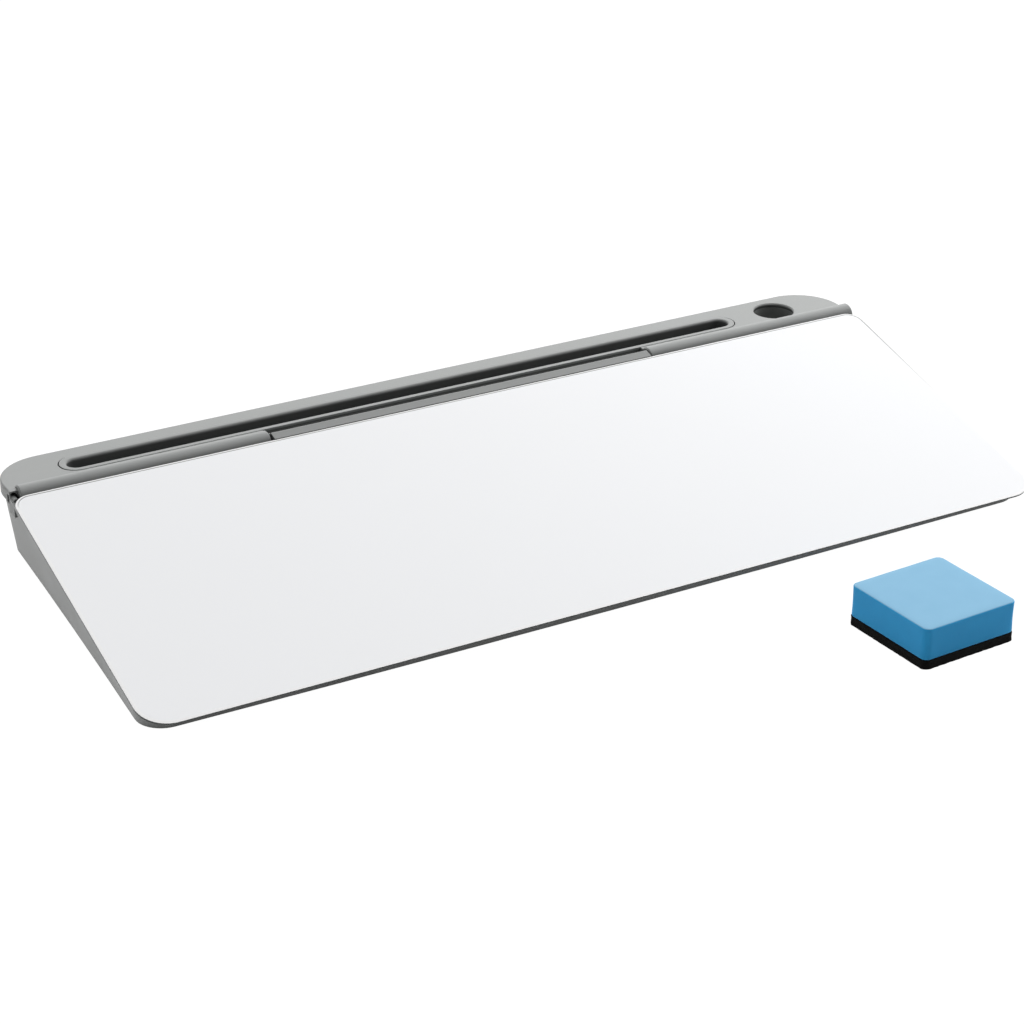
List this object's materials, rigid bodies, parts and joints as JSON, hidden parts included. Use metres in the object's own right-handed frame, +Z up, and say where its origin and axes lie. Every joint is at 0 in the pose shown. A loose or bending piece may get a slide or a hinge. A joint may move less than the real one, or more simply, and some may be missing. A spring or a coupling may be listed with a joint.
{
  "type": "magnetic desk whiteboard easel",
  "caption": "Low sloping desk whiteboard: magnetic glass lid hinged over a storage tray, rear rail with a long slot and a pen hole, and a loose foam eraser.",
  "frame": {"origin": "middle of the base tray's flat underside; the rubber feet stand 0.8 mm proud of it, so the desk is at z = -0.0008 m", "axes": "+X to the right seen from the front, +Y to the back, +Z up; the lid's hinge runs along X"},
  "size_m": [0.4576, 0.2979, 0.0489],
  "materials": {
    "grey_moulding": "fine satin moulding, mid grey",
    "dark_moulding": "satin moulding, mid grey",
    "white_glass": "polished glass over a white back",
    "white_film": "opaque white film",
    "sheet_steel": "galvanised sheet",
    "tape_foam": "white foam tape",
    "pin_steel": "drawn steel",
    "magnet_plating": "nickel plate",
    "soft_rubber": "matte black rubber",
    "blue_foam": "blue closed-cell foam",
    "black_felt": "black felt"
  },
  "bodies": {
    "base": {"base_tray": "grey_moulding", "rear_rail": "grey_moulding", "slot_liner": "dark_moulding", "pen_cup": "dark_moulding", "hinge_pin_left": "pin_steel", "hinge_pin_right": "pin_steel", "catch_magnet_left": "magnet_plating", "catch_magnet_right": "magnet_plating", "lid_bumper_front_left": "soft_rubber", "lid_bumper_front_right": "soft_rubber", "lid_bumper_rear_left": "soft_rubber", "lid_bumper_rear_right": "soft_rubber", "foot_front_left": "soft_rubber", "foot_front_right": "soft_rubber", "foot_rear_left": "soft_rubber", "foot_rear_right": "soft_rubber", "rail_screws": "pin_steel"},
    "lid": {"lid_frame": "grey_moulding", "glass_panel": "white_glass", "white_backcoat": "white_film", "steel_sheet": "sheet_steel", "foam_tape": "tape_foam"},
    "eraser": {"eraser_foam": "blue_foam", "eraser_felt": "black_felt", "eraser_magnet": "magnet_plating"}
  },
  "joints": [
    {"name": "lid_hinge", "type": "hinge", "parent": "base", "child": "lid", "pos_m": [0, 0.06048, 0.04281], "axis": [-1, 0, 0], "range_deg": [0, 100]},
    {"name": "eraser_lift", "type": "slide", "parent": "base", "child": "eraser", "axis": [0, 0, 1], "range_m": [0, 0.1]}
  ]
}
